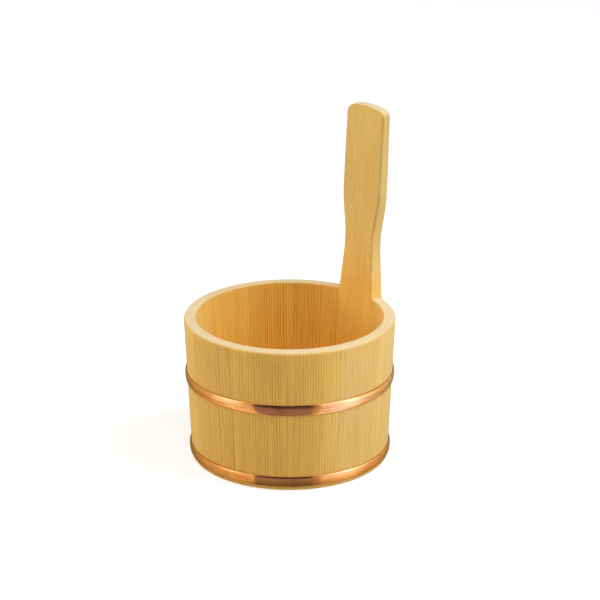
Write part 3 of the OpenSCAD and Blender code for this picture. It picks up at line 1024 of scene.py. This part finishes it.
def stage_floor(shade, white, inner):
    """A wide pale floor just under the foot: a flat ring that starts under the staves, so that
    light from below reaches the pail's underside, and that is clear from below."""
    outer, drop, steps = 5.6, 0.0002, 96
    q = np.linspace(0, 2 * np.pi, steps, endpoint=False)
    points = turned(np.array([[inner], [outer]]), q, -drop)
    shader = Shader(bpy.data.materials.new("pale_floor"))
    matt = shader.add("BsdfDiffuse", {"Color": (shade, shade, shade, 1.0)})[0]
    strength = shader.math("MULTIPLY", shader.seen(), white)
    glow = shader.add("Emission", {"Strength": strength})[0]
    top = shader.add("AddShader", {0: matt, 1: glow})[0]
    below = shader.add("NewGeometry")["Backfacing"]
    clear = shader.add("BsdfTransparent")[0]
    either = shader.add("MixShader", {0: below, 1: top, 2: clear})[0]
    mesh = surface_mesh("stage_floor", points, grid_faces(2, steps), shader.finish(either))
    floor = put("stage_floor", mesh)


def stage_room(radius, height):
    """A room that only shows in reflections, so that the hoops mirror its floor and its wall.
    It is ruled between the lines of mirrored sight: each leaves the hoop's circle at an angle from
    the front, runs out along the floor at twice that angle, and then rises. Behind the pail the
    lines run straight back."""
    facing, *tones = np.array(ROOM).T
    run, near = np.array(PAINTED_FOOT_SHADOW).T
    turn = np.linspace(facing[0], facing[-1], ROOM_STEPS)
    close, far, wall = (np.interp(turn, facing, tone)[:, None] for tone in tones)
    away = np.clip((run - NEAR_END) / (FAR_START - NEAR_END), 0, 1)
    # Painted shadow on that floor near the foot.
    floor = near * (close + (far - close) * away)
    shade = np.concatenate([floor, wall, UPPER_LIGHT + UPPER_SHARE * wall], axis=1)
    facing = [row[0] for row in ROOM_TINT]
    # The first tint is orange: painted light bounced from the wood onto the floor near the foot.
    tints = np.array([(ORANGE, *row[1:]) for row in ROOM_TINT]).reshape(len(facing), -1).T
    tints = np.stack([np.interp(turn, facing, channel) for channel in tints], axis=1)
    tints = tints.reshape(len(turn), len(TINT_RUNS), 3)
    reach = np.append(run, [1, 1])
    shares = np.stack([np.interp(reach, TINT_RUNS, one) for one in np.eye(len(TINT_RUNS))])
    colour = np.ones((*shade.shape, 4))
    colour[..., :3] = shade[..., None] * np.einsum("tkc,kr->trc", tints, shares)
    rise = np.append(ROOM_LIFT + 0 * run, [WALL_FOOT, height])
    run = np.append(run, [run[-1], run[-1]])
    q = np.radians(turn)[:, None]
    way = np.clip(2 * q, -np.pi, np.pi)
    x = radius * np.sin(q) + run * np.sin(way)
    y = -radius * np.cos(q) - run * np.cos(way)
    points = np.stack(np.broadcast_arrays(x, y, rise), axis=-1)
    faces = grid_faces(*x.shape, tube=False)
    shader = Shader(bpy.data.materials.new("mirrored_room"))
    tone = shader.add("Attribute", attribute_name="shade")["Color"]
    glow = shader.finish(shader.add("Emission", {"Color": tone})[0])
    mesh = surface_mesh("mirrored_room", points, faces, glow)
    layer = mesh.attributes.new("shade", "FLOAT_COLOR", "POINT")
    layer.data.foreach_set("color", colour.astype(np.float32).ravel())
    room = put("mirrored_room", mesh)
    room.visible_camera = room.visible_diffuse = room.visible_shadow = False


def stage_world(ambient):
    """A room that is white where it is seen or mirrored, and gives an even light of its own."""
    shader = Shader(bpy.data.worlds.new("white_room"))
    strength = shader.math("MULTIPLY_ADD", shader.seen(), 1 - ambient, ambient)
    white = shader.add("Background", {"Color": opaque(WHITE), "Strength": strength})[0]
    bpy.context.scene.world = shader.finish(white, "OutputWorld")


def stage_lamp(name, place, width, height, colour, mirrored, watts):
    """A soft lamp: a rectangle that faces the middle of the pail."""
    light = bpy.data.lights.new(name, "AREA")
    light.shape = "RECTANGLE"
    light.size, light.size_y = width, height
    light.color = colour
    light.energy = watts
    lamp = put(name, light)
    lamp.location = place
    direction = Vector(LAMP_AIM) - Vector(place)
    lamp.rotation_euler = direction.to_track_quat("-Z", "Y").to_euler()
    lamp.visible_camera = False
    lamp.visible_glossy = mirrored


def stage_camera(stage):
    """The camera stands back from its aim along its own line of sight, which falls by the pitch."""
    camera = bpy.data.cameras.new("photo_camera")
    camera.lens = stage.lens
    camera.sensor_width = 36.0
    view = put("photo_camera", camera)
    view.location = (
        stage.aim_x,
        -stage.distance * math.cos(stage.pitch),
        stage.aim_z + stage.distance * math.sin(stage.pitch),
    )
    view.rotation_euler = (math.pi / 2 - stage.pitch, 0.0, 0.0)
    bpy.context.scene.camera = view


class PAIL_OT_stage(bpy.types.Operator):
    """Set the floor, the lamps and the camera"""

    bl_idname = "pail.stage"
    bl_label = "Stage"

    def execute(self, context):
        stage, pail = context.scene.bath_pail.stage, context.scene.bath_pail.pail
        context.scene.view_settings.view_transform = "Standard"
        foot = pail.foot_diameter / 2
        stage_floor(stage.floor_shade, stage.floor_glow, foot - pail.foot_chamfer)
        stage_world(stage.ambient)
        for lamp in LAMPS:
            stage_lamp(*lamp, getattr(stage, lamp[0]))
        stage_room(foot, stage.room_height)
        stage_camera(stage)
        return {"FINISHED"}


STEPS = (
    PAIL_OT_staves, PAIL_OT_handle, PAIL_OT_floor, PAIL_OT_hoops, PAIL_OT_pegs, PAIL_OT_stage,
)


class PAIL_PT_sidebar(bpy.types.Panel):
    """The pail's sizes, finishes and steps"""

    bl_label = "Bath Pail"
    bl_idname = "PAIL_PT_sidebar"
    bl_space_type = "VIEW_3D"
    bl_region_type = "UI"
    bl_category = "Pail"

    def draw(self, context):
        settings = context.scene.bath_pail
        for step in STEPS:
            self.layout.operator(step.bl_idname)
        for part in ("pail", "handle", "floor", "hoop", "wood", "copper", "bamboo", "stage"):
            box = self.layout.box()
            box.label(text=part.title())
            group = getattr(settings, part)
            for key in group.__annotations__:
                box.prop(group, key)


CLASSES = (
    PailSizes, HandleSizes, FloorSizes, HoopSizes, WoodFinish, CopperFinish, BambooFinish,
    StageSettings, PailSettings, *STEPS, PAIL_PT_sidebar,
)


def register():
    """Adds the classes and the scene's settings."""
    for part in CLASSES:
        bpy.utils.register_class(part)
    bpy.types.Scene.bath_pail = PointerProperty(type=PailSettings)


def unregister():
    """Takes the scene's settings and the classes away."""
    del bpy.types.Scene.bath_pail
    for part in reversed(CLASSES):
        bpy.utils.unregister_class(part)


def main():
    """Builds every piece and the stage."""
    register()
    bpy.ops.pail.staves()
    bpy.ops.pail.handle()
    bpy.ops.pail.floor()
    bpy.ops.pail.hoops()
    bpy.ops.pail.pegs()
    bpy.ops.pail.stage()


if __name__ == "__main__":
    main()
